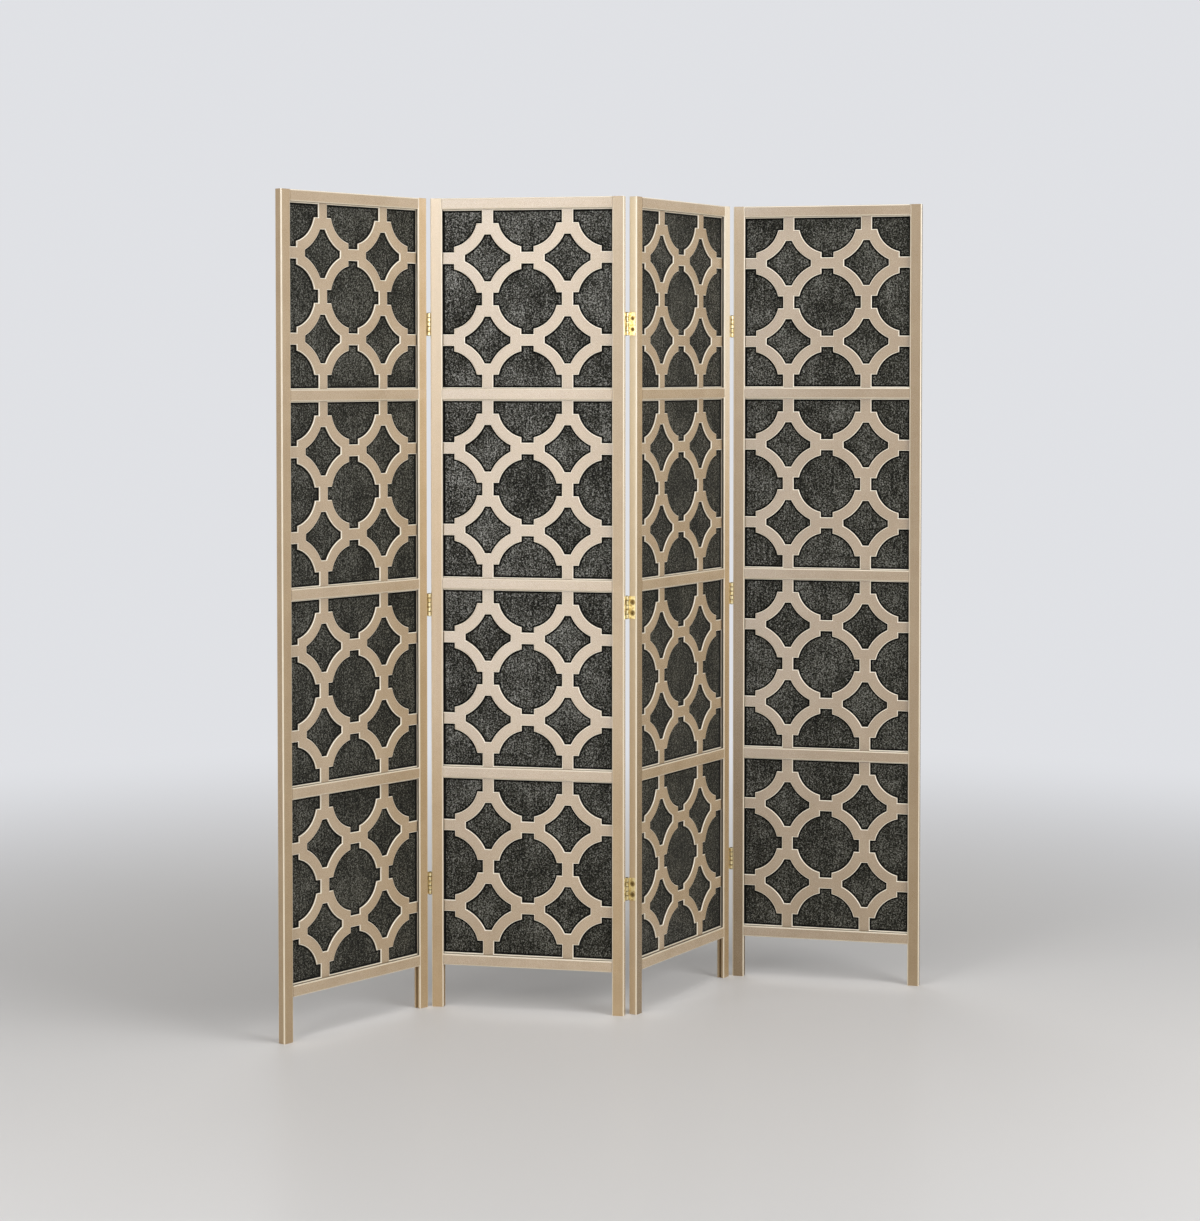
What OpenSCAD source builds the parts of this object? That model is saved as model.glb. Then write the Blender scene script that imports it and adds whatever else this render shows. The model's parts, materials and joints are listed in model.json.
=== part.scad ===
// A free-standing folding screen: four framed panels in a zig-zag row on brass butt hinges.
// Each panel has four windows, each with a pierced lattice board and dark cloth behind it.
// Sizes in millimetres, +Z up, +X along the row, the lattice side faces -Y.
// The origin is on the floor, under the middle of the row.

/* [Panel] */
// Height of the screen
height = 1800; // [1650:5:1950]
// Width of one panel over both stiles
panel_w = 438; // [400:1:500]
// Thickness of the frame
thick = 19; // [18:0.5:25]
// Width of a stile, the upright at each side
stile_w = 27; // [25:0.5:40]
// Height of a rail, the crosspiece between the stiles
rail_h = 25; // [22:0.5:40]
// Height of the legs below the bottom rail
leg_h = 95; // [60:1:140]
// Radius of the eased edges
edge_r = 3; // [0.6:0.1:3.5]
// Width of the slanted cut round the ends of a stile
end_cut = 0.7; // [0.3:0.1:1.2]

/* [Grooves] */
// Width of the groove that runs round inside each frame
groove_w = 6; // [5:0.25:8]
// Depth of the groove in the stiles
groove_d = 8; // [7:0.5:9]
// Depth of the grooves in the rails
rail_groove_d = 6; // [5.5:0.5:7]
// Clearance of a rail's tongue to each wall of the stile's groove
tongue_gap = 0.1; // [0.05:0.05:0.3]
// Clearance of a rail's tongue to the bottom of the stile's groove
tongue_end_gap = 0.5; // [0.2:0.1:0.8]

/* [Lattice] */
// Thickness of a lattice board
board_t = 3.5; // [2.5:0.25:4]
// How far a board reaches into the stiles' grooves
board_tuck = 6; // [5:0.25:6.5]
// How far a board reaches into the rails' grooves
board_rail_tuck = 5; // [4:0.25:5]
// Distance from one ring's centre to the next
pitch = 181; // [170:1:200]
// Radius of the round openings
opening_r = 67; // [60:0.5:70]
// Radius of a ring's outer side
ring_r = 92; // [88:0.5:95]
// Width of the square notches in the round openings
notch_w = 28; // [20:0.5:34]
// Width of the straight bars between the notches
bar_w = 25.5; // [22:0.5:30]
// Width of the diamond openings across their blunt points
diamond_w = 103.5; // [90:0.5:106]
// Height of the board's border that shows above and below the openings
border_h = 2.5; // [1:0.5:6]
// How far the openings run past the stiles' faces, into the grooves
side_reveal = 2; // [0:0.5:3]

/* [Cloth] */
// Thickness of the cloth behind the boards
cloth_t = 1; // [0.5:0.1:1]
// How far the cloth reaches into the grooves
cloth_tuck = 4; // [2:0.5:4.5]

/* [Hinges] */
// Length of a hinge
leaf_l = 50; // [44:1:60]
// Width of a leaf on the stile's edge
leaf_w = 16.5; // [12:0.5:17]
// Thickness of a leaf
leaf_t = 1.2; // [1:0.1:1.5]
// Outer diameter of the barrel
barrel_d = 6.5; // [5.6:0.1:7]
// Diameter of the pin
pin_d = 3; // [2.5:0.1:3.4]
// Diameter of the riveted heads of the pin
pin_head_d = 4.8; // [4:0.1:5.5]
// Height of the riveted heads of the pin
pin_head_h = 0.8; // [0.5:0.1:1.5]
// Distance from the frame's face to the pin's axis
pin_proud = 4; // [3.8:0.1:6]
// Distance between two panels' edges when they lie in line
edge_gap = 4; // [3.6:0.1:6]
// Distance from the middle hinge to the ones above and below
hinge_spacing = 622; // [500:1:700]
// Gap between one knuckle and the next
knuckle_gap = 0.2; // [0.1:0.05:0.4]
// Radial clearance of the pin in the knuckles
pin_clearance = 0.05; // [0.03:0.01:0.09]
// Clearance of a leaf to the other leaf's knuckles
leaf_clearance = 0.4; // [0.3:0.1:0.8]

/* [Hinge screws] */
// Distance between the two screws of a leaf
screw_spacing = 24; // [18:0.5:28]
// Distance from the frame's face to the screws
screw_inset = 10; // [8:0.5:11]
// Diameter of a screw
screw_d = 3; // [2.5:0.1:3.4]
// Diameter of a screw's head
screw_head_d = 6; // [5:0.1:6.6]
// Length of a screw with its head
screw_l = 14; // [11:0.5:15]
// Length of a screw's point
point_l = 3; // [2:0.5:4]
// Diameter at the tip of a screw's point
tip_d = 0.8; // [0.4:0.1:1.2]
// Length of each arm of the cross recess, from end to end
recess_l = 3; // [2.4:0.1:3.6]
// Width of each arm of the cross recess
recess_w = 0.6; // [0.4:0.1:0.8]
// Depth of the cross recess
recess_depth = 0.7; // [0.4:0.1:0.8]
// Depth of the pilot holes past the screws' tips
pilot_spare = 0.5; // [0.2:0.1:0.8]
// Radial clearance of a screw in its holes
screw_clearance = 0.05; // [0.02:0.01:0.1]

/* [Fold] */
// Angle of the first panel to the row
first_angle = 31; // [20:0.5:45]
// Fold between the first and second panels, from in line
fold_1 = 62; // [40:0.5:90]
// Fold between the second and third panels, from in line
fold_2 = 71.5; // [40:0.5:90]
// Fold between the third and fourth panels, from in line
fold_3 = 73.5; // [40:0.5:90]

/* [Hidden] */
$fn = 96;

paint = [0.80, 0.73, 0.60];
cloth_colour = [0.17, 0.18, 0.16];
brass = [0.86, 0.68, 0.28];

// How far a cut runs past the face it opens
cut = 1;
// Panels, windows in a panel, and hinges between two panels
panel_count = 4;
window_count = 4;
hinge_count = 3;

// Panel sizes that follow
inner_w = panel_w - 2 * stile_w;
window_h = (height - leg_h - (window_count + 1) * rail_h) / window_count;
front_land = (thick - groove_w) / 2;
groove_back = front_land + groove_w;
cloth_front = groove_back - cloth_t;
board_front = cloth_front - board_t;
tongue_l = groove_d - tongue_end_gap;
tongue_w = groove_w - 2 * tongue_gap;

// Hinge sizes that follow
half_gap = edge_gap / 2;
barrel_r = barrel_d / 2;
knuckle_count = 5;
knuckle_l = (leaf_l - (knuckle_count - 1) * knuckle_gap) / knuckle_count;
leaf_start = barrel_r + leaf_clearance;

// The bottom of rail k, counted from 0 at the legs, and of window k, from 1 at the top
function rail_z(k) = leg_h + k * (rail_h + window_h);
function window_z(k) = rail_z(window_count - k) + rail_h;
// The bottom of hinge k, from 0 at the bottom
function hinge_z(k) = (height - leaf_l) / 2 + (k - (hinge_count - 1) / 2) * hinge_spacing;

// Angle of each panel to the row
angles = [first_angle, first_angle - fold_1, first_angle - fold_1 + fold_2,
          first_angle - fold_1 + fold_2 - fold_3];
function turned(p, a) = [p.x * cos(a) - p.y * sin(a), p.x * sin(a) + p.y * cos(a)];
// Joint j stands between panels j and j + 1: the middle one has its pins at the back
function at_back(j) = j == 2;
function pin_y(j) = at_back(j) ? thick + pin_proud : -pin_proud;
// Front left corner of panel i, and the pins' axis of joint j, in a row that starts at [0, 0]
function corner_raw(i) = i == 1 ? [0, 0] : pin_raw(i - 1) - turned([-half_gap, pin_y(i - 1)], angles[i - 1]);
function pin_raw(j) = corner_raw(j) + turned([panel_w + half_gap, pin_y(j)], angles[j - 1]);
// The middle of the row's box, from the centres of the panels' eased corners
corner_points = [for (i = [1:panel_count], x = [edge_r, panel_w - edge_r], y = [edge_r, thick - edge_r])
    corner_raw(i) + turned([x, y], angles[i - 1])];
corner_xs = [for (p = corner_points) p.x];
corner_ys = [for (p = corner_points) p.y];
middle = [(min(corner_xs) + max(corner_xs)) / 2, (min(corner_ys) + max(corner_ys)) / 2];
function corner(i) = corner_raw(i) - middle;
function pin_at(j) = pin_raw(j) - middle;

echo(pins = [for (j = [1:panel_count - 1]) pin_at(j)]);
echo(corners = [for (i = [1:panel_count]) corner(i)], angles = angles);

// Puts a piece that is drawn on a panel's own axes into the row
module in_panel(i) {
    translate([corner(i).x, corner(i).y, 0])
        rotate([0, 0, angles[i - 1]])
            children();
}

// A bar's section with eased edges
module eased_section(w, t) {
    translate([edge_r, 0])
        square([w - 2 * edge_r, t]);
    translate([0, edge_r])
        square([w, t - 2 * edge_r]);
    for (x = [edge_r, w - edge_r], y = [edge_r, t - edge_r])
        translate([x, y])
            circle(r = edge_r);
}

// A bar's outline with its corners cut at 45 degrees
module cut_outline(w, h) {
    c = end_cut;
    polygon([[c, 0], [w - c, 0], [w, c], [w, h - c], [w - c, h], [c, h], [0, h - c], [0, c]]);
}

// Holes for the screws of joint j's three hinges, on the panel edge at x = 0, running towards +X
module pilot_holes(j) {
    y = at_back(j) ? thick - screw_inset : screw_inset;
    for (k = [0:hinge_count - 1], s = [-1, 1])
        translate([-cut, y, hinge_z(k) + leaf_l / 2 + s * screw_spacing / 2])
            rotate([0, 90, 0])
                cylinder(r = screw_d / 2 + screw_clearance, h = screw_l - leaf_t + pilot_spare + cut);
}

// A stile whose outer edge is at x = 0 and whose groove faces +X; j is the joint there, or 0
module stile(j) {
    color(paint)
        difference() {
            intersection() {
                linear_extrude(height)
                    eased_section(stile_w, thick);
                rotate([90, 0, 0])
                    translate([0, 0, -thick - cut])
                        linear_extrude(thick + 2 * cut)
                            cut_outline(stile_w, height);
            }
            translate([stile_w - groove_d, front_land, -cut])
                cube([groove_d + cut, groove_w, height + 2 * cut]);
            if (j > 0)
                pilot_holes(j);
        }
}

module left_stile(i) {
    stile(i - 1);
}

module right_stile(i) {
    translate([panel_w, 0, 0])
        mirror([1, 0, 0])
            stile(i < panel_count ? i : 0);
}

// The groove for a board along a rail, from height z
module board_groove(z) {
    translate([-groove_d, front_land, z])
        cube([inner_w + 2 * groove_d, groove_w, rail_groove_d + cut]);
}

// Rail k with its tongues in the stiles' grooves, grooved where a board enters it
module rail(k) {
    color(paint)
        translate([stile_w, 0, rail_z(k)])
            difference() {
                union() {
                    rotate([90, 0, 90])
                        linear_extrude(inner_w)
                            eased_section(thick, rail_h);
                    translate([-tongue_l, front_land + tongue_gap, 0])
                        cube([inner_w + 2 * tongue_l, tongue_w, rail_h]);
                }
                if (k > 0)
                    board_groove(-cut);
                if (k < window_count)
                    board_groove(rail_h - rail_groove_d);
            }
}

module top_rail() {
    rail(window_count);
}

module middle_rails() {
    for (k = [1:window_count - 1])
        rail(k);
}

module bottom_rail() {
    rail(0);
}

// A round opening with a square notch on each of its four sides
module notched_opening() {
    reach = pitch - bar_w;
    circle(r = opening_r);
    square([reach, notch_w], center = true);
    square([notch_w, reach], center = true);
}

// The opening between four rings
module diamond_opening() {
    difference() {
        square(diamond_w, center = true);
        for (x = [-pitch, pitch] / 2, y = [-pitch, pitch] / 2)
            translate([x, y])
                circle(r = ring_r);
    }
}

// The pierced board of window k: rings on a square grid, centred in the window
module lattice(k) {
    board = [inner_w + 2 * board_tuck, window_h + 2 * board_rail_tuck];
    pierced = [inner_w + 2 * side_reveal, window_h - 2 * border_h];
    nx = ceil(pierced.x / pitch / 2);
    ny = ceil(pierced.y / pitch / 2);
    color(paint)
        translate([panel_w / 2, board_front + board_t, window_z(k) + window_h / 2])
            rotate([90, 0, 0])
                linear_extrude(board_t)
                    difference() {
                        square(board, center = true);
                        intersection() {
                            square(pierced, center = true);
                            union() {
                                for (x = [-nx:nx], y = [-ny:ny])
                                    translate([x, y] * pitch)
                                        notched_opening();
                                for (x = [-nx:nx - 1], y = [-ny:ny - 1])
                                    translate([x + 0.5, y + 0.5] * pitch)
                                        diamond_opening();
                            }
                        }
                    }
}

// The cloth behind each board of a panel
module cloths() {
    color(cloth_colour)
        for (k = [1:window_count])
            translate([stile_w - cloth_tuck, cloth_front, window_z(k) - cloth_tuck])
                cube([inner_w + 2 * cloth_tuck, cloth_t, window_h + 2 * cloth_tuck]);
}

// Puts a hinge piece, drawn round a pin on the Z axis, on each hinge of joint j
module at_hinges(j) {
    translate([panel_w + half_gap, pin_y(j), 0])
        mirror([0, at_back(j) ? 1 : 0, 0])
            for (k = [0:hinge_count - 1])
                translate([0, 0, hinge_z(k)])
                    children();
}

// One leaf on the edge to the left of the pin, with every second knuckle from the given one
module leaf(first_knuckle) {
    color(brass)
        difference() {
            union() {
                translate([-half_gap, leaf_start, 0])
                    cube([leaf_t, pin_proud + leaf_w - leaf_start, leaf_l]);
                for (n = [first_knuckle:2:knuckle_count - 1])
                    translate([0, 0, n * (knuckle_l + knuckle_gap)]) {
                        cylinder(r = barrel_r, h = knuckle_l);
                        translate([-half_gap, 0, 0])
                            cube([leaf_t, leaf_start + leaf_clearance, knuckle_l]);
                    }
            }
            translate([0, 0, -cut])
                cylinder(r = pin_d / 2 + pin_clearance, h = leaf_l + 2 * cut);
            at_screws()
                cylinder(h = leaf_t,
                         r1 = screw_head_d / 2 + screw_clearance,
                         r2 = screw_d / 2 + screw_clearance);
        }
}

// Puts a screw, drawn with its head's face at the origin and pointing to +Z, in a leaf's two holes
module at_screws() {
    for (s = [-1, 1])
        translate([leaf_t - half_gap, pin_proud + screw_inset, leaf_l / 2 + s * screw_spacing / 2])
            rotate([0, -90, 0])
                children();
}

// A countersunk screw with a cross recess
module screw() {
    color(brass)
        difference() {
            union() {
                cylinder(r1 = screw_head_d / 2, r2 = screw_d / 2, h = leaf_t);
                translate([0, 0, leaf_t])
                    cylinder(r = screw_d / 2, h = screw_l - leaf_t - point_l);
                translate([0, 0, screw_l - point_l])
                    cylinder(d1 = screw_d, d2 = tip_d, h = point_l);
            }
            for (a = [0, 90])
                rotate([0, 0, a])
                    translate([-recess_l / 2, -recess_w / 2, -cut])
                        cube([recess_l, recess_w, recess_depth + cut]);
        }
}

module left_leaves(j) {
    at_hinges(j)
        leaf(0);
}

module right_leaves(j) {
    at_hinges(j)
        mirror([1, 0, 0])
            leaf(1);
}

module left_screws(j) {
    at_hinges(j)
        at_screws()
            screw();
}

module right_screws(j) {
    at_hinges(j)
        mirror([1, 0, 0])
            at_screws()
                screw();
}

// The pins, riveted over at both ends of the barrel
module pins(j) {
    color(brass)
        at_hinges(j) {
            translate([0, 0, -pin_clearance])
                cylinder(d = pin_d, h = leaf_l + 2 * pin_clearance);
            for (z = [-pin_clearance - pin_head_h, leaf_l + pin_clearance])
                translate([0, 0, z])
                    cylinder(d = pin_head_d, h = pin_head_h);
        }
}

// Right leaves and their screws belong to the next panel, whose left edge they are screwed to
module in_next_panel(j) {
    translate([pin_at(j).x, pin_at(j).y, 0])
        rotate([0, 0, angles[j]])
            translate([-panel_w - half_gap, -pin_y(j), 0])
                children();
}

in_panel(1) left_stile(1);  // panel_1_left_stile
in_panel(1) right_stile(1);  // panel_1_right_stile
in_panel(1) top_rail();  // panel_1_top_rail
in_panel(1) middle_rails();  // panel_1_middle_rails
in_panel(1) bottom_rail();  // panel_1_bottom_rail
in_panel(1) lattice(1);  // panel_1_lattice_1
in_panel(1) lattice(2);  // panel_1_lattice_2
in_panel(1) lattice(3);  // panel_1_lattice_3
in_panel(1) lattice(4);  // panel_1_lattice_4
in_panel(1) cloths();  // panel_1_cloths
in_panel(2) left_stile(2);  // panel_2_left_stile
in_panel(2) right_stile(2);  // panel_2_right_stile
in_panel(2) top_rail();  // panel_2_top_rail
in_panel(2) middle_rails();  // panel_2_middle_rails
in_panel(2) bottom_rail();  // panel_2_bottom_rail
in_panel(2) lattice(1);  // panel_2_lattice_1
in_panel(2) lattice(2);  // panel_2_lattice_2
in_panel(2) lattice(3);  // panel_2_lattice_3
in_panel(2) lattice(4);  // panel_2_lattice_4
in_panel(2) cloths();  // panel_2_cloths
in_panel(3) left_stile(3);  // panel_3_left_stile
in_panel(3) right_stile(3);  // panel_3_right_stile
in_panel(3) top_rail();  // panel_3_top_rail
in_panel(3) middle_rails();  // panel_3_middle_rails
in_panel(3) bottom_rail();  // panel_3_bottom_rail
in_panel(3) lattice(1);  // panel_3_lattice_1
in_panel(3) lattice(2);  // panel_3_lattice_2
in_panel(3) lattice(3);  // panel_3_lattice_3
in_panel(3) lattice(4);  // panel_3_lattice_4
in_panel(3) cloths();  // panel_3_cloths
in_panel(4) left_stile(4);  // panel_4_left_stile
in_panel(4) right_stile(4);  // panel_4_right_stile
in_panel(4) top_rail();  // panel_4_top_rail
in_panel(4) middle_rails();  // panel_4_middle_rails
in_panel(4) bottom_rail();  // panel_4_bottom_rail
in_panel(4) lattice(1);  // panel_4_lattice_1
in_panel(4) lattice(2);  // panel_4_lattice_2
in_panel(4) lattice(3);  // panel_4_lattice_3
in_panel(4) lattice(4);  // panel_4_lattice_4
in_panel(4) cloths();  // panel_4_cloths
in_panel(1) left_leaves(1);  // hinge_1_left_leaves
in_next_panel(1) right_leaves(1);  // hinge_1_right_leaves
in_panel(1) pins(1);  // hinge_1_pins
in_panel(1) left_screws(1);  // hinge_1_left_screws
in_next_panel(1) right_screws(1);  // hinge_1_right_screws
in_panel(2) left_leaves(2);  // hinge_2_left_leaves
in_next_panel(2) right_leaves(2);  // hinge_2_right_leaves
in_panel(2) pins(2);  // hinge_2_pins
in_panel(2) left_screws(2);  // hinge_2_left_screws
in_next_panel(2) right_screws(2);  // hinge_2_right_screws
in_panel(3) left_leaves(3);  // hinge_3_left_leaves
in_next_panel(3) right_leaves(3);  // hinge_3_right_leaves
in_panel(3) pins(3);  // hinge_3_pins
in_panel(3) left_screws(3);  // hinge_3_left_screws
in_next_panel(3) right_screws(3);  // hinge_3_right_screws
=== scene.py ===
import json
import math

import bpy
from mathutils import Matrix, Vector


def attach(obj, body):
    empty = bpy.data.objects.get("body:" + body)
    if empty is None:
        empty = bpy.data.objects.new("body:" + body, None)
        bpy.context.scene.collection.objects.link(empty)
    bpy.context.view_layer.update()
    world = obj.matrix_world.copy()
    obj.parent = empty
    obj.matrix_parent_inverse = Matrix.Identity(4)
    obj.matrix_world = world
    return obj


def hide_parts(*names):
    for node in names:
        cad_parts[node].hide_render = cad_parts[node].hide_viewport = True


# Folding screen: four painted lattice panels with dark cloth behind, on brass hinges
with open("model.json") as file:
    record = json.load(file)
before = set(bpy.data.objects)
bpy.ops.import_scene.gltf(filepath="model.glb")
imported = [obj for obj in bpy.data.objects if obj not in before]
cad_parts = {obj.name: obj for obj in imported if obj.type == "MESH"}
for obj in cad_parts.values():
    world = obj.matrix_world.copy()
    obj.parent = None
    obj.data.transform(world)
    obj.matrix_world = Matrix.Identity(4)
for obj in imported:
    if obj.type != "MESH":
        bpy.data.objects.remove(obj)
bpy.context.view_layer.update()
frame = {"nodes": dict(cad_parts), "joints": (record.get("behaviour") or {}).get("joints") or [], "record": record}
nodes = frame["nodes"]
print("frame loaded,", len(nodes), "nodes")


# Camera: stands to the left of the row's middle and looks a little down
camera = {
    "place": (-1.9196, -5.6289, 1.4251),
    "turn": -18.888,  # degrees to the right of +Y
    "tilt": 2.0,  # degrees below level
    "lens": 78.44,  # mm
    "sensor": 36,  # mm
    "shift": -0.1224,  # keeps the uprights near upright in the picture
    "farthest": 200,
}
bpy.ops.object.camera_add(location=camera["place"])
eye = bpy.context.object
eye.name = "eye"
eye.rotation_euler = (math.radians(90 - camera["tilt"]), 0, math.radians(camera["turn"]))
eye.data.lens = camera["lens"]
eye.data.sensor_width = camera["sensor"]
eye.data.shift_y = camera["shift"]
eye.data.clip_end = camera["farthest"]
bpy.context.scene.camera = eye
print("camera placed")


# Small helpers for modelling
def deselectAll():
    for thing in bpy.context.selected_objects:
        thing.select_set(False)


def makeActive(piece):
    deselectAll()
    piece.select_set(True)
    bpy.context.view_layer.objects.active = piece


def addBlock(name, low, high):
    deselectAll()
    centre = [(a + b) / 2 for a, b in zip(low, high)]
    bpy.ops.mesh.primitive_cube_add(size=1, location=centre)
    block = bpy.context.object
    block.name = name
    block.scale = [b - a for a, b in zip(low, high)]
    bpy.ops.object.transform_apply(location=True, rotation=True, scale=True)
    return block


def addDisc(name, x, z, radius, depth, steps):
    deselectAll()
    bpy.ops.mesh.primitive_cylinder_add(
        vertices=steps, radius=radius, depth=depth, location=(x, 0, z), rotation=(math.pi / 2, 0, 0))
    disc = bpy.context.object
    disc.name = name
    bpy.ops.object.transform_apply(location=True, rotation=True, scale=True)
    return disc


def applyModifier(piece, name, kind, **settings):
    makeActive(piece)
    modifier = piece.modifiers.new(name, kind)
    for key, value in settings.items():
        setattr(modifier, key, value)
    bpy.ops.object.modifier_apply(modifier=modifier.name)


def cutWith(piece, tool, operation="DIFFERENCE"):
    applyModifier(piece, "cut", "BOOLEAN", operation=operation, object=tool, solver="EXACT", use_self=True)
    bpy.data.objects.remove(tool)


def joinAll(pieces):
    makeActive(pieces[0])
    for piece in pieces[1:]:
        piece.select_set(True)
    bpy.ops.object.join()
    return pieces[0]


# Where each panel stands: the feet's places give its corner and its direction
panels = {
    "count": 4,
    "width": 0.438,
    "thick": 0.019,
    "stile": 0.027,
    "footInset": 0.0095,  # from the panel's edge and face to the middle of a foot
}
feet = {m["name"]: Vector(m["pos_m"]) for m in frame["record"]["mounts"]}


def panelMatrix(i):
    left, right = feet[f"foot_{i}_left"], feet[f"foot_{i}_right"]
    along = (right - left).normalized()
    back = Vector((-along.y, along.x, 0))
    corner = left - panels["footInset"] * (along + back)
    matrix = Matrix.Identity(4)
    matrix.col[0][:3] = along
    matrix.col[1][:3] = back
    matrix.translation = corner
    return matrix


places = {i: panelMatrix(i) for i in range(1, panels["count"] + 1)}


def standIn(piece, i, centre):
    # moves a piece drawn about its own centre into panel i, with the place in its mesh
    piece.data.transform(places[i] @ Matrix.Translation(centre))
    piece.data.update()


def copyOf(piece, name):
    twin = piece.copy()
    twin.data = piece.data.copy()
    twin.name = name
    twin.data.name = name
    bpy.context.scene.collection.objects.link(twin)
    return twin


# Windows: four above each other, between the rails
windows = {
    "count": 4,
    "width": 0.384,
    "height": 0.395,
    "bottom": 0.120,  # of the lowest window
    "step": 0.420,
}


def windowCentre(k):
    # window 1 is the top one
    level = windows["count"] - k
    return windows["bottom"] + level * windows["step"] + windows["height"] / 2


# Lattice board: a quarter is cut and mirrored twice
board = {
    "front": 0.008,  # from the frame's face to the board's
    "thick": 0.0035,
    "tuck": 0.006,  # into the stiles
    "railTuck": 0.005,  # into the rails
    "pitch": 0.181,
    "openingRadius": 0.067,
    "ringRadius": 0.092,
    "notchWidth": 0.028,
    "barWidth": 0.0255,
    "diamondWidth": 0.1035,
    "border": 0.0025,  # shows along the rails
    "reveal": 0.002,  # how far the openings run past the window's sides
    "arcSteps": 144,
    "easing": 0.0020,  # of the front edges
    "backEasing": 0.25,  # share of it on the back edges
    "easingSteps": 4,
    "sliver": 0.0004,  # shorter edges than this go before the easing
    "flatBelow": 0.5,  # degrees between faces that become one
    "smoothBelow": 30.0,  # degrees between faces
}
touching = 1e-5  # nearer than this counts as touching
sideways = 0.5  # a face looks to the side if its normal has less Y than this


def cutQuarter():
    b = board
    halfWide = windows["width"] / 2 + b["tuck"]
    halfHigh = windows["height"] / 2 + b["railTuck"]
    deep = b["thick"] / 2
    through = b["thick"] * 2
    blank = addBlock("board", (0, -deep, 0), (halfWide, deep, halfHigh))
    # round openings with four square notches, one at each grid point of the quarter
    cutters = []
    reach = (b["pitch"] - b["barWidth"]) / 2
    notch = b["notchWidth"] / 2
    for x in (0, b["pitch"]):
        for z in (0, b["pitch"]):
            cutters.append(addDisc("round", x, z, b["openingRadius"], 2 * through, b["arcSteps"]))
            for name, wide, high in (("level notch", reach, notch), ("upright notch", notch, reach)):
                cutters.append(addBlock(name, (x - wide, -through, z - high), (x + wide, through, z + high)))
    openings = joinAll(cutters)
    span = 0.1  # well past the quarter's inner edges
    limit = addBlock("limit", (-span, -2 * deep, -span),
                     (windows["width"] / 2 + b["reveal"], 2 * deep, windows["height"] / 2 - b["border"]))
    cutWith(openings, limit, "INTERSECT")
    cutWith(blank, openings)
    # the diamond between four rings
    middle, half = b["pitch"] / 2, b["diamondWidth"] / 2
    diamond = addBlock("diamond", (middle - half, -through, middle - half),
                       (middle + half, through, middle + half))
    rings = joinAll([addDisc("ring", x, z, b["ringRadius"], 3 * through, b["arcSteps"])
                     for x in (0, b["pitch"]) for z in (0, b["pitch"])])
    cutWith(diamond, rings)
    cutWith(blank, diamond)
    return blank


def mirrorQuarter(piece):
    # the inner edges' walls go first
    makeActive(piece)
    bpy.ops.object.mode_set(mode="EDIT")
    bpy.ops.mesh.select_mode(type="FACE")
    bpy.ops.mesh.select_all(action="DESELECT")
    bpy.ops.object.mode_set(mode="OBJECT")
    for face in piece.data.polygons:
        onEdge = abs(face.center.x) < touching or abs(face.center.z) < touching
        face.select = onEdge and abs(face.normal.y) < sideways
    bpy.ops.object.mode_set(mode="EDIT")
    bpy.ops.mesh.delete(type="FACE")
    bpy.ops.object.mode_set(mode="OBJECT")
    applyModifier(piece, "mirror", "MIRROR", use_axis=(True, False, True), merge_threshold=touching)
    applyModifier(piece, "flat faces", "DECIMATE", decimate_type="DISSOLVE",
                  angle_limit=math.radians(board["flatBelow"]))


def easeEdges(piece):
    b = board
    # slivers at the diamonds' corners go, so that they don't hold back the easing
    makeActive(piece)
    bpy.ops.object.mode_set(mode="EDIT")
    bpy.ops.mesh.select_all(action="SELECT")
    bpy.ops.mesh.remove_doubles(threshold=b["sliver"])
    bpy.ops.object.mode_set(mode="OBJECT")
    # a front edge lies between a face that looks to -Y and a side, a back edge between +Y and a side
    facing = {}
    for face in piece.data.polygons:
        for key in face.edge_keys:
            facing.setdefault(key, []).append(face.normal.y)
    weights = piece.data.attributes.new("bevel_weight_edge", "FLOAT", "EDGE")
    for edge, weight in zip(piece.data.edges, weights.data):
        low, high = min(facing[edge.key]), max(facing[edge.key])
        atFront, atBack = low < -sideways < high, low < sideways < high
        weight.value = 1.0 if atFront else b["backEasing"] if atBack else 0.0
    applyModifier(piece, "easing", "BEVEL", width=b["easing"], segments=b["easingSteps"],
                  limit_method="WEIGHT", use_clamp_overlap=False)
    makeActive(piece)
    bpy.ops.object.shade_smooth_by_angle(angle=math.radians(b["smoothBelow"]))
    applyModifier(piece, "shading", "WEIGHTED_NORMAL", keep_sharp=True)


firstBoard = cutQuarter()
mirrorQuarter(firstBoard)
easeEdges(firstBoard)
print("board modelled,", len(firstBoard.data.polygons), "faces")

boards = {}
for i in places:
    for k in range(1, windows["count"] + 1):
        piece = copyOf(firstBoard, f"panel_{i}_board_{k}")
        standIn(piece, i, (panels["width"] / 2, board["front"] + board["thick"] / 2, windowCentre(k)))
        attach(piece, f"panel_{i}")
        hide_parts(f"panel_{i}_lattice_{k}")
        boards[i, k] = piece
bpy.data.objects.remove(firstBoard)
print("boards placed,", len(boards))


# Cloth: a stretched sheet behind each board
cloth = {
    "tuck": 0.004,
    "thick": 0.0009,
    "cell": 0.008,
    "billow": 0.0007,  # how far the middle of the sheet bellies backwards
    "smoothBelow": 40.0,  # degrees between faces
}
clothWide = windows["width"] + 2 * cloth["tuck"]
clothHigh = windows["height"] + 2 * cloth["tuck"]


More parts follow.
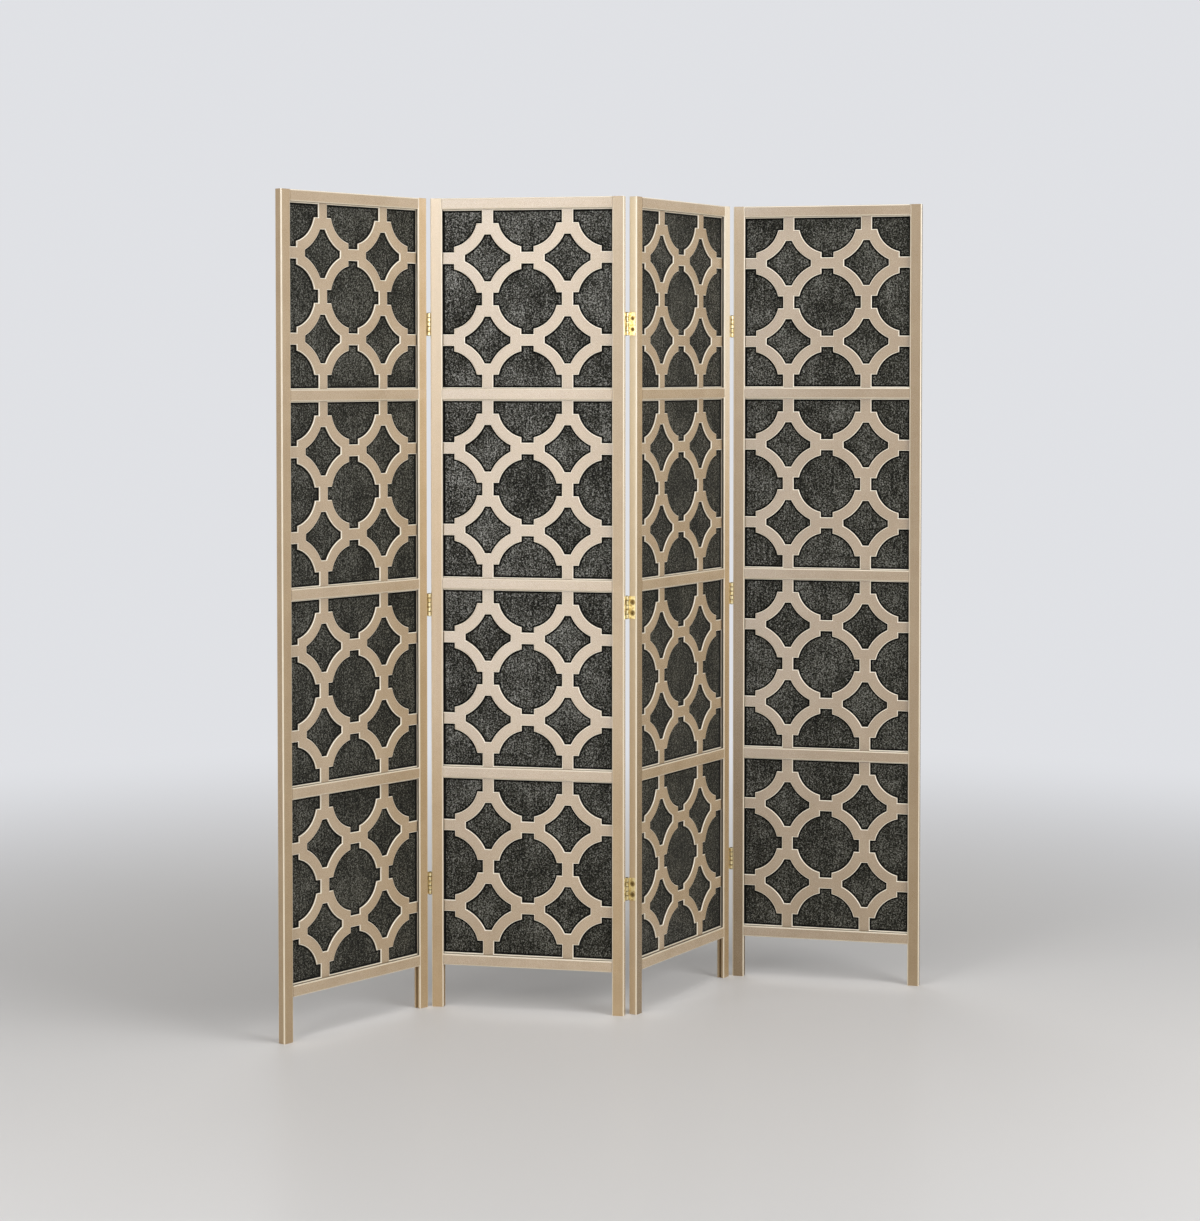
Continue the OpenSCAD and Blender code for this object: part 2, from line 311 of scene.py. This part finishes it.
def makeCloth():
    c = cloth
    deselectAll()
    bpy.ops.mesh.primitive_grid_add(
        x_subdivisions=round(clothWide / c["cell"]), y_subdivisions=round(clothHigh / c["cell"]), size=1,
        rotation=(math.pi / 2, 0, 0))
    sheet = bpy.context.object
    sheet.name = "cloth"
    sheet.scale = (clothWide, clothHigh, 1)
    bpy.ops.object.transform_apply(location=True, rotation=True, scale=True)

    def belly(v):
        return c["billow"] * math.cos(math.pi * v.co.x / clothWide) * math.cos(math.pi * v.co.z / clothHigh)

    for v in sheet.data.vertices:
        v.co.y = belly(v)
    # thickens backwards, away from the board
    backwards = 1 if sheet.data.polygons[0].normal.y > 0 else -1
    applyModifier(sheet, "thickness", "SOLIDIFY", thickness=c["thick"], offset=backwards)
    # tells the finish which side lies on the board
    onBoard = sheet.data.attributes.new("onBoard", "FLOAT", "POINT")
    for v, mark in zip(sheet.data.vertices, onBoard.data):
        mark.value = 1.0 if v.co.y - belly(v) < c["thick"] / 2 else 0.0
    makeActive(sheet)
    bpy.ops.object.shade_smooth_by_angle(angle=math.radians(c["smoothBelow"]))
    return sheet


firstCloth = makeCloth()
clothFront = board["front"] + board["thick"]
cloths = {}
for i in places:
    for k in range(1, windows["count"] + 1):
        piece = copyOf(firstCloth, f"panel_{i}_cloth_{k}")
        standIn(piece, i, (panels["width"] / 2, clothFront, windowCentre(k)))
        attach(piece, f"panel_{i}")
        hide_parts(f"panel_{i}_cloths")
        cloths[i, k] = piece
bpy.data.objects.remove(firstCloth)
print("cloth placed,", len(cloths))


# Shader maths: a socket whose operators add Math nodes
class Wire:
    def __init__(self, maker, socket):
        self.maker = maker
        self.socket = socket

    def maths(self, operation, first, second=None):
        values = {0: first} if second is None else {0: first, 1: second}
        return self.maker.node("ShaderNodeMath", {"operation": operation}, values)

    def least(self, other): return self.maths("MINIMUM", self, other)
    def most(self, other): return self.maths("MAXIMUM", self, other)
    def nearestWhole(self): return self.maths("ROUND", self)
    def swing(self, amount): return (self - 0.5) * amount  # lets a share from 0 to 1 swing about 0

    def __add__(self, other): return self.maths("ADD", self, other)
    def __radd__(self, other): return self.maths("ADD", other, self)
    def __sub__(self, other): return self.maths("SUBTRACT", self, other)
    def __rsub__(self, other): return self.maths("SUBTRACT", other, self)
    def __mul__(self, other): return self.maths("MULTIPLY", self, other)
    def __truediv__(self, other): return self.maths("DIVIDE", self, other)
    def __pow__(self, other): return self.maths("POWER", self, other)
    def __mod__(self, other): return self.maths("FLOORED_MODULO", self, other)
    def __abs__(self): return self.maths("ABSOLUTE", self)


class Finish:
    def __init__(self, name):
        self.material = bpy.data.materials.new(name)
        self.material.use_nodes = True
        self.tree = self.material.node_tree
        self.tree.nodes.clear()

    def node(self, kind, settings=None, values=None, out=0):
        made = self.tree.nodes.new(kind)
        for key, value in (settings or {}).items():
            if key == "stops":
                ramp = made.color_ramp
                while len(ramp.elements) < len(value):
                    ramp.elements.new(0.5)
                for element, (place, colour) in zip(ramp.elements, value):
                    element.position = place
                    element.color = (*colour, 1)
            else:
                setattr(made, key, value)
        for key, value in (values or {}).items():
            socket = made.inputs[key]
            if isinstance(value, Wire):
                self.tree.links.new(value.socket, socket)
            else:
                socket.default_value = value
        self.last = made
        return Wire(self, made.outputs[out]) if made.outputs else None

    def place(self, scale=(1, 1, 1), turn=(0, 0, 0), shift=(0, 0, 0)):
        spot = self.node("ShaderNodeTexCoord", out="Object")
        return self.node("ShaderNodeMapping", {"vector_type": "POINT"},
                         {"Vector": spot, "Location": shift, "Rotation": turn, "Scale": scale})

    def stretched(self, where, scale):
        return self.node("ShaderNodeVectorMath", {"operation": "MULTIPLY"}, {0: where, 1: scale})

    def scaled(self, colour, factor):
        return self.node("ShaderNodeVectorMath", {"operation": "SCALE"}, {0: colour, "Scale": factor})

    def parts(self, vector):
        self.node("ShaderNodeSeparateXYZ", None, {"Vector": vector})
        return [Wire(self, socket) for socket in self.last.outputs]

    def noise(self, where, scale, detail=2.0, roughness=0.5, out="Fac"):
        return self.node("ShaderNodeTexNoise", None,
                         {"Vector": where, "Scale": scale, "Detail": detail, "Roughness": roughness}, out)

    def between(self, value, low, high, newLow=0.0, newHigh=1.0):
        return self.node("ShaderNodeMapRange", {"interpolation_type": "SMOOTHSTEP"}, {
            "Value": value, "From Min": low, "From Max": high, "To Min": newLow, "To Max": newHigh})

    def blend(self, share, first, second):
        first = (*first, 1) if isinstance(first, tuple) else first
        second = (*second, 1) if isinstance(second, tuple) else second
        return self.node("ShaderNodeMix", {"data_type": "RGBA"}, {0: share, 6: first, 7: second}, 2)

    def bump(self, height, distance, strength):
        return self.node("ShaderNodeBump", None,
                         {"Height": height, "Distance": distance, "Strength": strength})

    def surface(self, **values):
        shader = self.node("ShaderNodeBsdfPrincipled", None,
                           {key.replace("_", " "): value for key, value in values.items()})
        self.node("ShaderNodeOutputMaterial", None, {"Surface": shader})
        return self.material


def wear(piece, material):
    piece.data.materials.clear()
    piece.data.materials.append(material)


# Paint: champagne gold, satin, with a fine pearl grain
paint = {
    "tint": (0.47, 0.350, 0.220),
    "deepTint": (0.425, 0.310, 0.188),
    "pearl": 2.05,  # index of refraction: the whitish satin bloom
    "roughness": 0.27,
    "brushing": 0.7,  # how much wider the shine is across the grain
    "cloudScale": 9.0,
    "cloudStops": (0.35, 0.65),  # in the noise: deepest, palest
    "cloudShare": 0.6,  # of the tone
    "cloudGloss": 0.12,  # how far the roughness swings with it
    "grainScale": 260.0,
    "grainNoise": (3.0, 0.6),  # detail and roughness
    "grainStops": (0.3, 0.7),
    "grainShare": 0.4,
    "grainStretch": 0.03,  # along the wood, against 1 across it
    "grainDepth": 0.00006,
    "orangePeelScale": 700.0,
    "orangePeelShare": 0.35,  # of the bump, against 1 for the grain
    "bumpStrength": 0.6,
    "flakeScale": 2600.0,
    "flakeGloss": 0.10,
    "stileTint": (0.46, 0.328, 0.182),
    "stileDeepTint": (0.41, 0.284, 0.150),
    "stilePearl": 1.78,
    "edgeHighlight": (0.82, 0.72, 0.55),  # painted highlight on the rounded edges
    "edgeHighlightFrom": 0.0018,  # from the edge
    "edgeHighlightTo": 0.0030,
    "recessShade": (0.05, 0.038, 0.022),  # painted shade in the recess round each board
    "recessShadeFrom": 0.0024,  # below the face
    "recessShadeTo": 0.0036,
    "recessShadeGloss": 0.4,  # how much rougher it is
    "recessShadeFade": 0.001,  # at the windows' top and bottom ends
    "wallFrom": 0.0002,  # how near the window's wall the painted shade starts
    "wallTo": 0.0012,
    "cutHighlight": (0.93, 0.85, 0.69),  # painted highlight on the boards' cut edges
    "cutHighlightFrom": (0.00003, 0.00012),  # below the board's front: none, all
    "cutHighlightTo": 0.0016,
    # painted shade on the back part of the boards' cut walls starts this deep
    "cutShadeFrom": 0.0021,
    "boardGrain": 0.25,  # how much of the wood's grain shows through on the boards
}
# painted light: where the paint is painted lighter with the height, all levels above the floor
paintedLight = {
    "low": 0.25,
    "high": 1.65,
    "litEdgeLow": (0.52, 0.385, 0.235),  # painted light on the outer edge faces, low down
    "litEdgeHigh": (0.76, 0.63, 0.43),
    "edge": (0.0006, 0.00005),  # from the outer edge: none, all
    "topLight": (0.92, 0.82, 0.66),  # painted light at the top of some stiles' fronts
    "topLightFrom": 0.90,
    "front": (0.004, 0.015),  # from the face: all, none
}
# painted light and shade: how much lighter the paint is on each panel's rails and boards
panelLight = {1: 1.05, 2: 1.05, 3: 1.07, 4: 0.86}
# painted light and shade: how much lighter it is on each stile, low down and high up
stileLight = {
    (1, "left"): (0.90, 0.96), (1, "right"): (1.05, 1.36),
    (2, "left"): (1.15, 1.38), (2, "right"): (1.10, 1.00),
    (3, "left"): (0.64, 1.08), (3, "right"): (0.97, 1.45),
    (4, "left"): (0.62, 0.92), (4, "right"): (0.76, 0.73),
}
# how strong the painted light is at the top of these stiles' fronts
stileTopLight = {(2, "left"): 0.4, (2, "right"): 0.1, (3, "right"): 0.8, (4, "left"): 0.12}
# stiles whose outer edge faces get painted light
litEdgedStiles = ((2, "right"), (3, "left"), (3, "right"), (4, "left"))


def fromSide(x):
    # how far x is from the panel's nearer outer edge
    return panels["width"] / 2 - abs(x - panels["width"] / 2)


def edgesAndRecess(f, x, y, z, along, isBoard):
    # shares of painted edge highlight and of painted shade in the recess; x, y and z start at the panel's lower
    # left corner
    p = paint
    if isBoard:
        deep = y - board["front"]
        # painted highlight on the front of each cut edge, painted shade on the back part of its wall
        below = f.between(deep, *p["cutHighlightFrom"])
        edgeHighlight = below * (1 - f.between(deep, p["cutHighlightTo"], p["cutShadeFrom"]))
        return edgeHighlight, f.between(deep, p["cutShadeFrom"], board["thick"])
    step = windows["step"]
    railHigh = step - windows["height"]
    top = windows["bottom"] + windows["count"] * step
    fromFace = y.least(panels["thick"] - y)
    if along == "z":
        inward = fromSide(x)
        fromEdge = inward.least(panels["stile"] - inward)
        atWall = f.between(inward, panels["stile"] - p["wallTo"], panels["stile"] - p["wallFrom"])
        lowest, highest = windows["bottom"], top
    else:
        upward = (z - windows["bottom"] + railHigh / 2 + step / 2) % step - step / 2
        fromEdge = railHigh / 2 - abs(upward)
        atWall = 1 - f.between(fromEdge, p["wallFrom"], p["wallTo"])
        lowest, highest = windows["bottom"] - railHigh / 2, top - railHigh / 2
    # painted shade on the recess walls, faded at the windows' top and bottom ends
    soft = p["recessShadeFade"]
    within = f.between(z, lowest - soft, lowest + soft) * (1 - f.between(z, highest - soft, highest + soft))
    # painted highlight along the rounded edges of stiles and rails
    edgeHighlight = 1 - f.between(fromEdge + fromFace, p["edgeHighlightFrom"], p["edgeHighlightTo"])
    return edgeHighlight, atWall * within * f.between(fromFace, p["recessShadeFrom"], p["recessShadeTo"])


def makePaint(name, place, along, look, lightLowHigh, topLight=0.0, litEdge=False):
    # along is the axis that the wood's grain follows in the panel that stands at place
    # the pair after look is painted light and shade: how much lighter the paint is low down and high up
    # the last two arguments paint light at the top of a stile's front and on its outer edge faces
    p = paint
    f = Finish(name)
    isBoard, isStile = look == "board", look == "stile"
    turn = math.atan2(place.col[0][1], place.col[0][0])
    where = f.place(turn=(0, 0, -turn), shift=place.inverted().translation)
    cloud = f.noise(where, p["cloudScale"])
    flakes = f.node("ShaderNodeTexVoronoi", None, {"Vector": where, "Scale": p["flakeScale"]}, "Color")
    sparkle = f.node("ShaderNodeSeparateColor", None, {"Color": flakes}, 0)
    grain = p["boardGrain"] if isBoard else 1.0
    stretch = p["grainStretch"]
    drawn = f.stretched(where, (stretch, 1, 1) if along == "x" else (1, 1, stretch))
    fibres = f.noise(drawn, p["grainScale"], *p["grainNoise"])
    clouded = f.between(cloud, *p["cloudStops"]) * p["cloudShare"]
    tone = clouded + f.between(fibres, *p["grainStops"]) * p["grainShare"] * grain
    x, y, z = f.parts(where)
    edgeHighlight, recess = edgesAndRecess(f, x, y, z, along, isBoard)
    tints = [p[key] for key in (("stileDeepTint", "stileTint") if isStile else ("deepTint", "tint"))]
    # painted light and shade: lighter or darker with the height
    colour = f.scaled(f.blend(tone, *tints), f.between(z, paintedLight["low"], paintedLight["high"], *lightLowHigh))
    # painted light at the top of the stile's front
    if topLight:
        high = f.between(z, paintedLight["topLightFrom"], paintedLight["high"])
        onFront = 1 - f.between(y, *paintedLight["front"])
        colour = f.blend(high * onFront * topLight, colour, paintedLight["topLight"])
    # painted light on the outer edge faces
    if litEdge:
        edgeTint = f.blend(f.between(z, paintedLight["low"], paintedLight["high"]), paintedLight["litEdgeLow"], paintedLight["litEdgeHigh"])
        colour = f.blend(f.between(fromSide(x), *paintedLight["edge"]), colour, edgeTint)
    # painted highlight on the rounded and cut edges
    colour = f.blend(edgeHighlight, colour, p["cutHighlight" if isBoard else "edgeHighlight"])
    # painted shade in the recess round each board
    colour = f.blend(recess, colour, p["recessShade"])
    roughness = (p["roughness"] + cloud.swing(p["cloudGloss"]) + sparkle.swing(p["flakeGloss"])
                 + recess * p["recessShadeGloss"])
    height = fibres * grain + f.noise(where, p["orangePeelScale"]) * p["orangePeelShare"]
    return f.surface(
        Base_Color=colour, Metallic=0.0, Roughness=roughness, IOR=p["stilePearl" if isStile else "pearl"],
        Anisotropic=0.0 if isBoard else p["brushing"],
        Anisotropic_Rotation=0.0 if along == "z" else 0.25,  # a quarter turn for the rails
        Normal=f.bump(height, p["grainDepth"], p["bumpStrength"]))


# Cloth: dark felted fibres, paler and a little shiny where they bunch
felt = {
    "dark": (0.006, 0.006, 0.005),
    "middle": (0.031, 0.0303, 0.0225),
    "pale": (0.112, 0.107, 0.077),
    "contactShadow": (0.003, 0.003, 0.0025),  # painted contact shadow along the edges of the openings
    "contactShadowFrom": 0.0028,  # from the board's edge
    "contactShadowTo": 0.0050,
    "stops": (0.44, 0.51, 0.65),  # where dark, middle and pale lie in the mottle
    "clumpScale": 330.0,
    "clumpShare": 0.62,  # of the mottle
    "fibreScale": 900.0,
    "fibreShare": 0.38,
    "fibreNoise": (2.0, 0.6),  # detail and roughness, of the clumps too
    "patchScale": 14.0,
    "patchSwing": 0.14,
    "streakScale": 240.0,
    "streakSwing": 0.10,
    "streakStretch": 0.05,  # up and down, against 1 across
    "warpScale": 120.0,
    "warpNoise": (3.0, 0.6),
    "warp": 0.006,
    "depth": 0.0005,
    "bumpStrength": 0.6,
    "roughness": 0.9,
    "specular": 0.1,
    "glint": 1.0,
    "glintFrom": 0.53,  # in the mottle
    "glintTo": 0.60,
    "glintRoughness": 0.3,
    "glintIndex": 2.0,  # of refraction
    "sheen": 0.09,
    "sheenRoughness": 0.5,
}


def depthInOpening(x, z):
    # distance from the board's nearest edge, above 0 in an opening; x and z start at the window's middle
    b = board
    fromX = abs(x - (x / b["pitch"]).nearestWhole() * b["pitch"])
    fromZ = abs(z - (z / b["pitch"]).nearestWhole() * b["pitch"])
    fromRing = (fromX * fromX + fromZ * fromZ) ** 0.5
    reach, notch = (b["pitch"] - b["barWidth"]) / 2, b["notchWidth"] / 2
    level = (reach - fromX).least(notch - fromZ)
    upright = (notch - fromX).least(reach - fromZ)
    inRound = (b["openingRadius"] - fromRing).most(level).most(upright)
    corner = (b["diamondWidth"] - b["pitch"]) / 2
    inDiamond = (fromX + corner).least(fromZ + corner).least(fromRing - b["ringRadius"])
    inside = inRound.most(inDiamond)
    return inside.least(windows["width"] / 2 - abs(x)).least(windows["height"] / 2 - b["border"] - abs(z))


def makeFelt():
    p = felt
    f = Finish("charcoal felt")
    plain = f.place()
    warp = f.noise(plain, p["warpScale"], *p["warpNoise"], "Color")
    bent = f.node("ShaderNodeVectorMath", {"operation": "MULTIPLY_ADD"},
                  {0: warp, 1: (p["warp"],) * 3, 2: plain})
    clumps = f.noise(bent, p["clumpScale"], *p["fibreNoise"])
    fibres = f.noise(bent, p["fibreScale"], *p["fibreNoise"])
    patches = f.noise(plain, p["patchScale"])
    streaks = f.noise(f.place((1, 1, p["streakStretch"])), p["streakScale"])
    mottle = (clumps * p["clumpShare"] + fibres * p["fibreShare"]
              + patches.swing(p["patchSwing"]) + streaks.swing(p["streakSwing"]))
    stops = list(zip(p["stops"], (p["dark"], p["middle"], p["pale"])))
    colour = f.node("ShaderNodeValToRGB", {"stops": stops}, {"Fac": mottle})
    # the sheet's own map runs from 0 to 1 over its width and height
    u, v = f.parts(f.node("ShaderNodeTexCoord", out="UV"))[:2]
    onBoard = f.node("ShaderNodeAttribute", {"attribute_name": "onBoard"}, out="Fac")
    depth = depthInOpening(u.swing(clothWide), v.swing(clothHigh))
    # painted contact shadow along the board's edges, on the side of the sheet that lies on the board; glints only
    # outside it
    unshadowed = f.between(depth, p["contactShadowFrom"], p["contactShadowTo"]).most(1 - onBoard)
    glints = f.between(mottle, p["glintFrom"], p["glintTo"]) * unshadowed
    return f.surface(
        Base_Color=f.blend(unshadowed, p["contactShadow"], colour),
        Roughness=p["roughness"], Specular_IOR_Level=p["specular"],
        Coat_Weight=glints * p["glint"], Coat_Roughness=p["glintRoughness"], Coat_IOR=p["glintIndex"],
        Sheen_Weight=p["sheen"], Sheen_Roughness=p["sheenRoughness"],
        Normal=f.bump(mottle, p["depth"], p["bumpStrength"]))


# Brass: bright plate, duller in places and dark in the seams between the knuckles
brass = {
    "bright": (0.86, 0.76, 0.47),
    "dull": (0.58, 0.43, 0.18),
    "seam": (0.10, 0.07, 0.03),
    "screwShade": (0.20, 0.13, 0.045),  # painted shade round the screws
    "screwShadeFrom": 0.0034,  # from a screw's middle
    "screwShadeTo": 0.0056,
    "spread": 0.0013,  # how much wider the painted shade round the screws is below the top hinge
    "spreadLevel": (1.1, 1.3),  # above the floor: all, none
    "screwShadeOutline": 0.004,  # how far the clouds bend it
    "screwShadeShare": 0.85,
    "seamAndShadeGloss": 0.2,  # how much rougher the painted shade round the screws and the seams are
    "roughness": 0.33,
    "cloudScale": 170.0,
    "cloudNoise": (3.0, 0.6),  # detail and roughness
    "cloudStops": (0.42, 0.66),  # in the noise: all bright, all dull
    "cloudGloss": 0.2,
    "scratchScale": 1400.0,
    "scratchStretch": 0.06,  # up and down, against 1 across
    "scratchDepth": 0.00002,
    "scratchGloss": 0.1,
    "bumpStrength": 0.5,
    "seamHalf": (0.05, 0.13),  # in knuckles: all, none
    "barrel": (0.0034, 0.0038),  # how far from the pin the seams reach
    "lowest": 0.253,  # bottom of the lowest hinge
    "spacing": 0.622,  # from one hinge to the next
    "length": 0.050,
    "knuckle": 0.01004,
    "screwFromPin": 0.014,
    "screwSpacing": 0.024,
}


def makeBrass(name, axis):
    p = brass
    f = Finish(name)
    plain = f.place()
    x, y, z = f.parts(plain)
    offX, offY = x - axis[0], y - axis[1]
    fromPin = (offX * offX + offY * offY) ** 0.5
    level = (z - p["lowest"]) % p["spacing"]
    share = (level / p["knuckle"]) % 1.0
    onBarrel = 1 - f.between(fromPin, *p["barrel"])
    seam = (1 - f.between(share.least(1 - share), *p["seamHalf"])) * onBarrel
    cloud = f.noise(plain, p["cloudScale"], *p["cloudNoise"])
    beside = fromPin - p["screwFromPin"]
    above = abs(level - p["length"] / 2) - p["screwSpacing"] / 2
    wider = (1 - f.between(z, *p["spreadLevel"])) * p["spread"]
    # painted shade round each screw, its outline bent by the clouds
    fromScrew = (beside * beside + above * above) ** 0.5 + cloud.swing(p["screwShadeOutline"]) - wider
    screwShade = 1 - f.between(fromScrew, p["screwShadeFrom"], p["screwShadeTo"])
    scratches = f.noise(f.place((1, 1, p["scratchStretch"])), p["scratchScale"])
    colour = f.blend(f.between(cloud, *p["cloudStops"]), p["bright"], p["dull"])
    colour = f.blend(seam, f.blend(screwShade * p["screwShadeShare"], colour, p["screwShade"]), p["seam"])
    roughness = (p["roughness"] + cloud.swing(p["cloudGloss"]) + scratches.swing(p["scratchGloss"])
                 + (seam + screwShade) * p["seamAndShadeGloss"])
    return f.surface(Base_Color=colour, Metallic=1.0, Roughness=roughness,
                     Normal=f.bump(scratches, p["scratchDepth"], p["bumpStrength"]))


# Screws: darker brass, with dirt in the cross recess
screws = {
    "metal": (0.34, 0.235, 0.085),
    "dirt": (0.035, 0.025, 0.012),
    "roughness": 0.34,
    "spotScale": 520.0,
    "spotNoise": (2.0, 0.6),  # detail and roughness
    "spotStops": (0.45, 0.6),  # in the noise: all metal, all dirt
    "spotGloss": 0.3,
    "spotDepth": 0.00004,
    "bumpStrength": 0.4,
}


def makeScrewBrass():
    p = screws
    f = Finish("screw brass")
    spots = f.noise(f.place(), p["spotScale"], *p["spotNoise"])
    return f.surface(
        Base_Color=f.blend(f.between(spots, *p["spotStops"]), p["metal"], p["dirt"]), Metallic=1.0,
        Roughness=p["roughness"] + spots.swing(p["spotGloss"]),
        Normal=f.bump(spots, p["spotDepth"], p["bumpStrength"]))


feltCloth = makeFelt()
brassPlates = {joint["name"][-1]: makeBrass("brass of " + joint["name"], joint["pos_m"])
               for joint in frame["joints"]}
screwBrass = makeScrewBrass()
for i, place in places.items():
    even = (panelLight[i], panelLight[i])
    railPaint = makePaint(f"paint on the rails of panel {i}", place, "x", "rail", even)
    boardPaint = makePaint(f"paint on the boards of panel {i}", place, "z", "board", even)
    for side in ("left", "right"):
        stile = (i, side)
        stilePaint = makePaint(f"paint on the {side} stile of panel {i}", place, "z", "stile",
                               stileLight[stile], stileTopLight.get(stile, 0.0), stile in litEdgedStiles)
        wear(nodes[f"panel_{i}_{side}_stile"], stilePaint)
    for level in ("top_rail", "middle_rails", "bottom_rail"):
        wear(nodes[f"panel_{i}_{level}"], railPaint)
    for k in range(1, windows["count"] + 1):
        wear(boards[i, k], boardPaint)
for piece in cloths.values():
    wear(piece, feltCloth)
for name, node in nodes.items():
    if name.startswith("hinge"):
        number = name.split("_")[1]
        wear(node, screwBrass if name.endswith("screws") else brassPlates[number])
print("finishes on")


# Studio: a pale floor that fades into the background, seven soft lamps and a soft sky
studio = {
    "background": (0.745, 0.755, 0.785),
    "floor": (0.74, 0.725, 0.71),
    "floorGloss": 0.26,  # roughness of its faint shine
    "floorShine": 0.05,
    "floorSize": 60.0,
    "fadeFrom": 1.0,  # from the floor's middle
    "fadeTo": 4.2,
    "sky": 0.30,
}
bpy.ops.mesh.primitive_plane_add(size=studio["floorSize"], location=(0, 0, 0))
floor = bpy.context.object
floor.name = "floor"


def makeFloor():
    s = studio
    f = Finish("pale floor")
    spot = f.node("ShaderNodeTexCoord", out="Object")
    distance = f.node("ShaderNodeVectorMath", {"operation": "LENGTH"}, {0: spot}, "Value")
    far = f.between(distance, s["fadeFrom"], s["fadeTo"])
    f.node("ShaderNodeLightPath")
    seen = [Wire(f, f.last.outputs[name])
            for name in ("Is Camera Ray", "Is Glossy Ray", "Is Transmission Ray")]
    shown = seen[0] + seen[1] + seen[2]
    matt = f.node("ShaderNodeBsdfPrincipled", None, {
        "Base Color": (*s["floor"], 1), "Roughness": 1.0, "Specular IOR Level": 0.0})
    shine = f.node("ShaderNodeBsdfGlossy", None, {"Roughness": s["floorGloss"]})
    near = f.node("ShaderNodeMixShader", None, {0: s["floorShine"], 1: matt, 2: shine})
    glow = f.node("ShaderNodeEmission", None, {"Color": (*s["background"], 1), "Strength": 1.0})
    mixed = f.node("ShaderNodeMixShader", None, {0: far * shown, 1: near, 2: glow})
    f.node("ShaderNodeOutputMaterial", None, {"Surface": mixed})
    return f.material


wear(floor, makeFloor())

world = bpy.data.worlds.new("studio")
bpy.context.scene.world = world
world.use_nodes = True
skyTree = world.node_tree
skyTree.nodes.clear()
rays = skyTree.nodes.new("ShaderNodeLightPath")
soft = skyTree.nodes.new("ShaderNodeBackground")
soft.inputs["Color"].default_value = (1, 1, 1, 1)
soft.inputs["Strength"].default_value = studio["sky"]
behind = skyTree.nodes.new("ShaderNodeBackground")
behind.inputs["Color"].default_value = (*studio["background"], 1)
behind.inputs["Strength"].default_value = 1.0
choice = skyTree.nodes.new("ShaderNodeMixShader")
skyOut = skyTree.nodes.new("ShaderNodeOutputWorld")
shown = rays.outputs["Is Camera Ray"]
for name in ("Is Glossy Ray", "Is Transmission Ray"):
    either = skyTree.nodes.new("ShaderNodeMath")
    either.operation = "MAXIMUM"
    skyTree.links.new(shown, either.inputs[0])
    skyTree.links.new(rays.outputs[name], either.inputs[1])
    shown = either.outputs[0]
skyTree.links.new(shown, choice.inputs[0])
skyTree.links.new(soft.outputs[0], choice.inputs[1])
skyTree.links.new(behind.outputs[0], choice.inputs[2])
skyTree.links.new(choice.outputs[0], skyOut.inputs["Surface"])

lamps = {
    # name: place, what it points at, width and height, power in watts, colour
    "left lamp": ((-2.90, -2.40, 1.25), (-0.1, 0.0, 1.07), (1.25, 1.96), 20.5, (1.0, 0.99, 0.975)),
    "high left lamp": ((-2.90, -2.40, 2.30), (-0.1, 0.0, 1.4), (1.25, 0.7), 10.5, (1.0, 0.99, 0.975)),
    "low left lamp": ((-2.60, -2.35, 0.24), (-0.1, -0.1, 0.26), (1.2, 0.34), 3.2, (1.0, 0.99, 0.975)),
    "side lamp": ((-3.50, -0.86, 1.60), (0.2, 0.0, 1.25), (0.8, 1.7), 13.0, (1.0, 0.99, 0.98)),
    "right lamp": ((2.00, -3.30, 1.90), (0.0, 0.0, 1.2), (2.4, 1.7), 80.0, (0.985, 0.99, 1.0)),
    "top lamp": ((0.0, -0.9, 3.6), (0.0, 0.0, 1.4), (2.4, 1.3), 25.0, (1.0, 1.0, 1.0)),
    "back lamp": ((0.6, 3.4, 2.8), (0.0, 0.0, 0.9), (2.2, 1.6), 26.0, (1.0, 1.0, 1.0)),
}
for name, (place, target, size, power, tint) in lamps.items():
    bpy.ops.object.light_add(type="AREA", location=place)
    lamp = bpy.context.object
    lamp.name = name
    lamp.data.shape = "RECTANGLE"
    lamp.data.size, lamp.data.size_y = size
    lamp.data.energy = power
    lamp.data.color = tint
    lamp.visible_camera = False
    lamp.rotation_euler = (Vector(target) - Vector(place)).to_track_quat("-Z", "Y").to_euler()
bpy.context.scene.view_settings.view_transform = "Standard"
print("studio lit")
